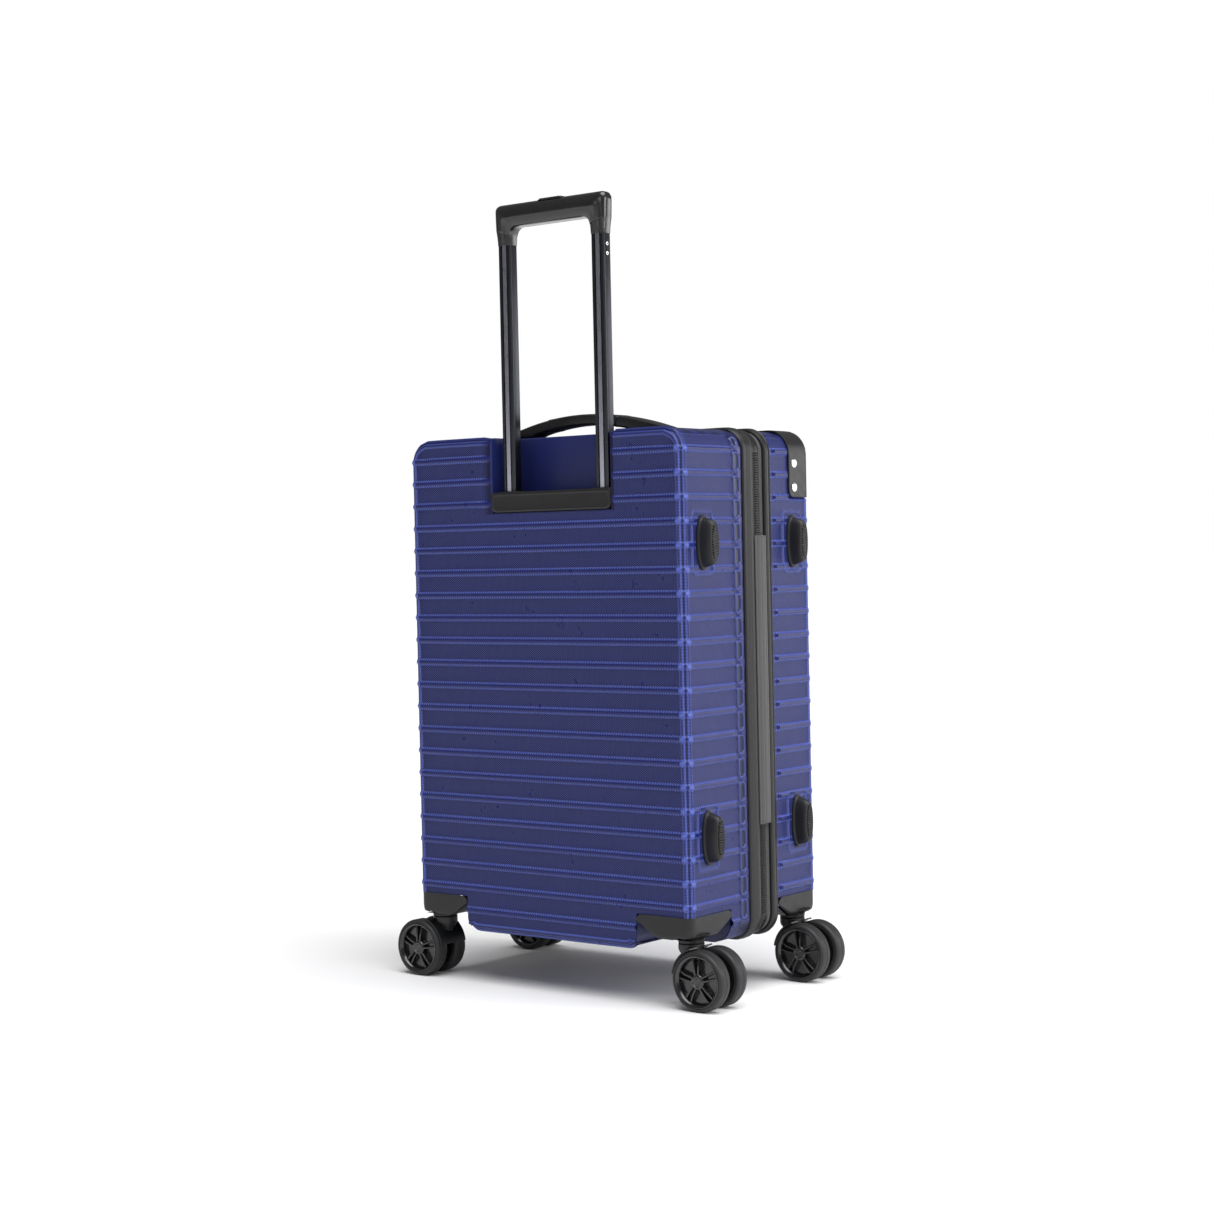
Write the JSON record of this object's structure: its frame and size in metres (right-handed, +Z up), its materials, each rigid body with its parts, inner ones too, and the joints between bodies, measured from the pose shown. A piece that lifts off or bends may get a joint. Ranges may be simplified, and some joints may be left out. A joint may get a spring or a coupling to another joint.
{
  "type": "suitcase",
  "caption": "Hard shell suitcase with a ribbed two-part shell, telescopic trolley handle, carry handles, combination lock, zip and swivelling double-wheel casters.",
  "frame": {"origin": "on the floor, under the middle of the case, with the casters trailing outwards", "axes": "+Z up, +Y towards the side with the trolley handle, +X towards the side with the side handle and the lock"},
  "size_m": [0.4136, 0.2206, 0.7836],
  "materials": {
    "shell_blue": "blue textured polycarbonate",
    "black_plastic": "fine grained black moulding",
    "gloss_black": "glossy black moulding",
    "soft_rubber": "soft black rubber",
    "tyre_rubber": "soft black polyurethane tread",
    "zip_fabric": "woven black zip tape",
    "lining_fabric": "dark grey woven lining",
    "mesh_fabric": "black mesh cloth",
    "strap_web": "black elastic webbing",
    "black_aluminium": "black anodised tube",
    "steel": "zinc plated steel",
    "chrome": "polished rivet"
  },
  "bodies": {
    "case_back": {"back_shell": "shell_blue", "back_edge_trim": "soft_rubber", "back_zip_tape": "zip_fabric", "hinge_strip_back": "soft_rubber", "back_lining": "lining_fabric", "packing_straps": "strap_web", "strap_buckle": "black_plastic", "trolley_bezel": "black_plastic", "trolley_outer_tubes": "black_aluminium", "trolley_tube_foot": "black_plastic", "back_side_feet": "soft_rubber", "back_caster_housings": "black_plastic", "handle_mounts": "black_plastic", "lock_body": "black_plastic"},
    "case_lid": {"front_shell": "shell_blue", "front_edge_trim": "soft_rubber", "front_zip_tape": "zip_fabric", "hinge_strip_front": "soft_rubber", "front_lining": "lining_fabric", "divider_panel": "mesh_fabric", "front_side_feet": "soft_rubber", "corner_guards": "black_plastic", "guard_rivets": "chrome", "front_caster_housings": "black_plastic"},
    "trolley_middle": {"trolley_middle_tubes": "black_aluminium", "middle_tube_collars": "black_plastic"},
    "trolley_carriage": {"trolley_inner_tubes": "black_aluminium", "trolley_grip": "black_plastic", "grip_rivets": "chrome", "lock_blocks": "black_plastic"},
    "trolley_release": {"release_button": "black_plastic", "release_rods": "steel"},
    "trolley_pins": {"lock_pins": "steel"},
    "top_handle": {"top_handle_grip": "black_plastic"},
    "side_handle": {"side_handle_grip": "black_plastic"},
    "dial_1": {"lock_dial_1": "gloss_black"},
    "dial_2": {"lock_dial_2": "gloss_black"},
    "dial_3": {"lock_dial_3": "gloss_black"},
    "key_cylinder": {"lock_key_cylinder": "steel"},
    "lock_button": {"lock_release": "gloss_black"},
    "slider_lower": {"zip_slider_lower": "steel"},
    "slider_upper": {"zip_slider_upper": "steel"},
    "pull_lower": {"zip_pull_lower": "steel"},
    "pull_upper": {"zip_pull_upper": "steel"},
    "caster_back_left": {"caster_back_left_fork": "black_plastic", "caster_back_left_pins": "steel"},
    "wheels_back_left": {"caster_back_left_hubs": "gloss_black", "caster_back_left_tyres": "tyre_rubber"},
    "caster_back_right": {"caster_back_right_fork": "black_plastic", "caster_back_right_pins": "steel"},
    "wheels_back_right": {"caster_back_right_hubs": "gloss_black", "caster_back_right_tyres": "tyre_rubber"},
    "caster_front_left": {"caster_front_left_fork": "black_plastic", "caster_front_left_pins": "steel"},
    "wheels_front_left": {"caster_front_left_hubs": "gloss_black", "caster_front_left_tyres": "tyre_rubber"},
    "caster_front_right": {"caster_front_right_fork": "black_plastic", "caster_front_right_pins": "steel"},
    "wheels_front_right": {"caster_front_right_hubs": "gloss_black", "caster_front_right_tyres": "tyre_rubber"}
  },
  "joints": [
    {"name": "lid_opening", "type": "hinge", "parent": "case_back", "child": "case_lid", "pos_m": [-0.174, -0.016, 0.3], "axis": [0, 0, -1], "range_deg": [0, 125]},
    {"name": "trolley_lower_stage", "type": "slide", "parent": "case_back", "child": "trolley_middle", "axis": [0, 0, 1], "range_m": [0, 0.244]},
    {"name": "trolley_upper_stage", "type": "slide", "parent": "trolley_middle", "child": "trolley_carriage", "axis": [0, 0, 1], "range_m": [-0.244, 0]},
    {"name": "release_button_press", "type": "slide", "parent": "trolley_carriage", "child": "trolley_release", "axis": [0, 0, -1], "range_m": [0, 0.004], "stiffness_N_per_m": 600, "springref_m": -0.004},
    {"name": "lock_pin_retract", "type": "slide", "parent": "trolley_carriage", "child": "trolley_pins", "axis": [0, 1, 0], "range_m": [0, 0.003]},
    {"name": "top_handle_lift", "type": "slide", "parent": "case_back", "child": "top_handle", "axis": [0, 0, 1], "range_m": [0, 0.008], "stiffness_N_per_m": 800, "springref_m": -0.002},
    {"name": "side_handle_lift", "type": "slide", "parent": "case_back", "child": "side_handle", "axis": [1, 0, 0], "range_m": [0, 0.008], "stiffness_N_per_m": 800, "springref_m": -0.002},
    {"name": "dial_1_turn", "type": "hinge", "parent": "case_back", "child": "dial_1", "pos_m": [0.1726, 0.0225, 0.284], "axis": [0, 0, 1], "continuous": true},
    {"name": "dial_2_turn", "type": "hinge", "parent": "case_back", "child": "dial_2", "pos_m": [0.1726, 0.0225, 0.292], "axis": [0, 0, 1], "continuous": true},
    {"name": "dial_3_turn", "type": "hinge", "parent": "case_back", "child": "dial_3", "pos_m": [0.1726, 0.0225, 0.3], "axis": [0, 0, 1], "continuous": true},
    {"name": "key_turn", "type": "hinge", "parent": "case_back", "child": "key_cylinder", "pos_m": [0.1784, 0.0225, 0.2735], "axis": [1, 0, 0], "range_deg": [0, 90]},
    {"name": "lock_button_slide", "type": "slide", "parent": "case_back", "child": "lock_button", "axis": [0, 0, 1], "range_m": [0, 0.004], "stiffness_N_per_m": 400, "springref_m": -0.002},
    {"name": "slider_lower_run", "type": "slide", "parent": "case_back", "child": "slider_lower", "axis": [0, 0, -1], "range_m": [0, 0.15]},
    {"name": "slider_upper_run", "type": "slide", "parent": "case_back", "child": "slider_upper", "axis": [0, 0, 1], "range_m": [0, 0.17]},
    {"name": "pull_lower_swing", "type": "hinge", "parent": "slider_lower", "child": "pull_lower", "pos_m": [0.17645, -0.016, 0.2665], "axis": [0, 0, -1], "range_deg": [0, 170]},
    {"name": "pull_upper_swing", "type": "hinge", "parent": "slider_upper", "child": "pull_upper", "pos_m": [0.17645, -0.016, 0.3395], "axis": [0, 0, -1], "range_deg": [0, 170]},
    {"name": "swivel_back_left", "type": "hinge", "parent": "case_back", "child": "caster_back_left", "pos_m": [-0.1573, 0.0873, 0.06], "axis": [0, 0, 1], "continuous": true},
    {"name": "roll_back_left", "type": "hinge", "parent": "caster_back_left", "child": "wheels_back_left", "pos_m": [-0.1778, 0.0873, 0.029], "axis": [0, 1, 0], "continuous": true},
    {"name": "swivel_back_right", "type": "hinge", "parent": "case_back", "child": "caster_back_right", "pos_m": [0.1573, 0.0873, 0.06], "axis": [0, 0, 1], "continuous": true},
    {"name": "roll_back_right", "type": "hinge", "parent": "caster_back_right", "child": "wheels_back_right", "pos_m": [0.1778, 0.0873, 0.029], "axis": [0, 1, 0], "continuous": true},
    {"name": "swivel_front_left", "type": "hinge", "parent": "case_lid", "child": "caster_front_left", "pos_m": [-0.1573, -0.0873, 0.06], "axis": [0, 0, 1], "continuous": true},
    {"name": "roll_front_left", "type": "hinge", "parent": "caster_front_left", "child": "wheels_front_left", "pos_m": [-0.1778, -0.0873, 0.029], "axis": [0, 1, 0], "continuous": true},
    {"name": "swivel_front_right", "type": "hinge", "parent": "case_lid", "child": "caster_front_right", "pos_m": [0.1573, -0.0873, 0.06], "axis": [0, 0, 1], "continuous": true},
    {"name": "roll_front_right", "type": "hinge", "parent": "caster_front_right", "child": "wheels_front_right", "pos_m": [0.1778, -0.0873, 0.029], "axis": [0, 1, 0], "continuous": true}
  ],
  "couplings": [
    {"joint": "lock_pin_retract", "follows": "release_button_press", "ratio": 0.75}
  ]
}
